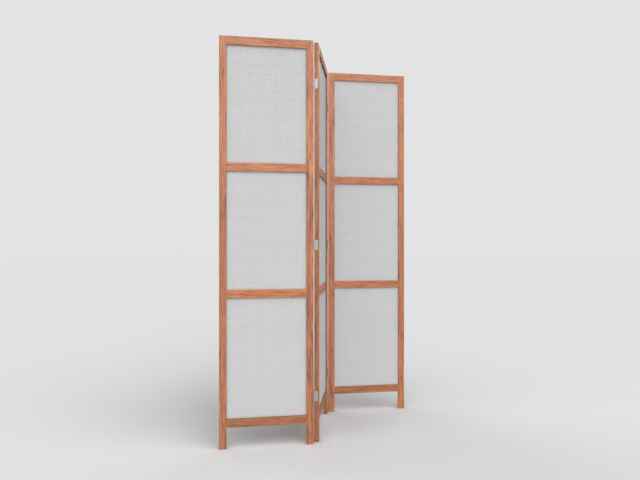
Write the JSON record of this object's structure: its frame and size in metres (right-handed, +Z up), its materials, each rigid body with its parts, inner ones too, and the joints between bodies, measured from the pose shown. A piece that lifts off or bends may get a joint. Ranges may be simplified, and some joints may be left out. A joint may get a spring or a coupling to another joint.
{
  "type": "folding room divider screen",
  "caption": "Folding room divider screen: wooden frames with rails and woven infills, joined by butt hinges that fold them in a zigzag.",
  "frame": {"origin": "centre of the screen on the floor, at the middle panel's centre, as the screen stands in its zigzag", "axes": "+Z up; X runs along the two outer panels, +X towards the right panel; -Y is the front, +Y the back"},
  "size_m": [0.9404, 0.4314, 1.75],
  "materials": {
    "frame_wood": "clear satin lacquer over a warm orange-brown hardwood",
    "bead_wood": "clear satin lacquer over a warm orange-brown hardwood",
    "woven_infill": "pale grey plain weave, matt",
    "hinge_steel": "satin plated steel",
    "screw_steel": "satin plated steel"
  },
  "bodies": {
    "left_panel": {"left_panel_left_stile": "frame_wood", "left_panel_right_stile": "frame_wood", "left_panel_bottom_rail": "frame_wood", "left_panel_lower_rail": "frame_wood", "left_panel_upper_rail": "frame_wood", "left_panel_top_rail": "frame_wood", "left_panel_lower_infill": "woven_infill", "left_panel_lower_beads": "bead_wood", "left_panel_middle_infill": "woven_infill", "left_panel_middle_beads": "bead_wood", "left_panel_upper_infill": "woven_infill", "left_panel_upper_beads": "bead_wood", "left_panel_hinge_screws": "screw_steel", "left_fold_bottom_hinge_moving_leaf": "hinge_steel", "left_fold_middle_hinge_moving_leaf": "hinge_steel", "left_fold_top_hinge_moving_leaf": "hinge_steel"},
    "middle_panel": {"middle_panel_left_stile": "frame_wood", "middle_panel_right_stile": "frame_wood", "middle_panel_bottom_rail": "frame_wood", "middle_panel_lower_rail": "frame_wood", "middle_panel_upper_rail": "frame_wood", "middle_panel_top_rail": "frame_wood", "middle_panel_lower_infill": "woven_infill", "middle_panel_lower_beads": "bead_wood", "middle_panel_middle_infill": "woven_infill", "middle_panel_middle_beads": "bead_wood", "middle_panel_upper_infill": "woven_infill", "middle_panel_upper_beads": "bead_wood", "middle_panel_hinge_screws": "screw_steel", "left_fold_bottom_hinge_fixed_leaf": "hinge_steel", "left_fold_bottom_hinge_pin": "hinge_steel", "left_fold_middle_hinge_fixed_leaf": "hinge_steel", "left_fold_middle_hinge_pin": "hinge_steel", "left_fold_top_hinge_fixed_leaf": "hinge_steel", "left_fold_top_hinge_pin": "hinge_steel", "right_fold_bottom_hinge_fixed_leaf": "hinge_steel", "right_fold_bottom_hinge_pin": "hinge_steel", "right_fold_middle_hinge_fixed_leaf": "hinge_steel", "right_fold_middle_hinge_pin": "hinge_steel", "right_fold_top_hinge_fixed_leaf": "hinge_steel", "right_fold_top_hinge_pin": "hinge_steel"},
    "right_panel": {"right_panel_left_stile": "frame_wood", "right_panel_right_stile": "frame_wood", "right_panel_bottom_rail": "frame_wood", "right_panel_lower_rail": "frame_wood", "right_panel_upper_rail": "frame_wood", "right_panel_top_rail": "frame_wood", "right_panel_lower_infill": "woven_infill", "right_panel_lower_beads": "bead_wood", "right_panel_middle_infill": "woven_infill", "right_panel_middle_beads": "bead_wood", "right_panel_upper_infill": "woven_infill", "right_panel_upper_beads": "bead_wood", "right_panel_hinge_screws": "screw_steel", "right_fold_bottom_hinge_moving_leaf": "hinge_steel", "right_fold_middle_hinge_moving_leaf": "hinge_steel", "right_fold_top_hinge_moving_leaf": "hinge_steel"}
  },
  "joints": [
    {"name": "left_fold", "type": "hinge", "parent": "middle_panel", "child": "left_panel", "pos_m": [-0.06523, -0.1932, 0.875], "axis": [0, 0, 1], "range_deg": [-105, 75]},
    {"name": "right_fold", "type": "hinge", "parent": "middle_panel", "child": "right_panel", "pos_m": [0.06523, 0.1932, 0.875], "axis": [0, 0, 1], "range_deg": [-105, 75]}
  ]
}
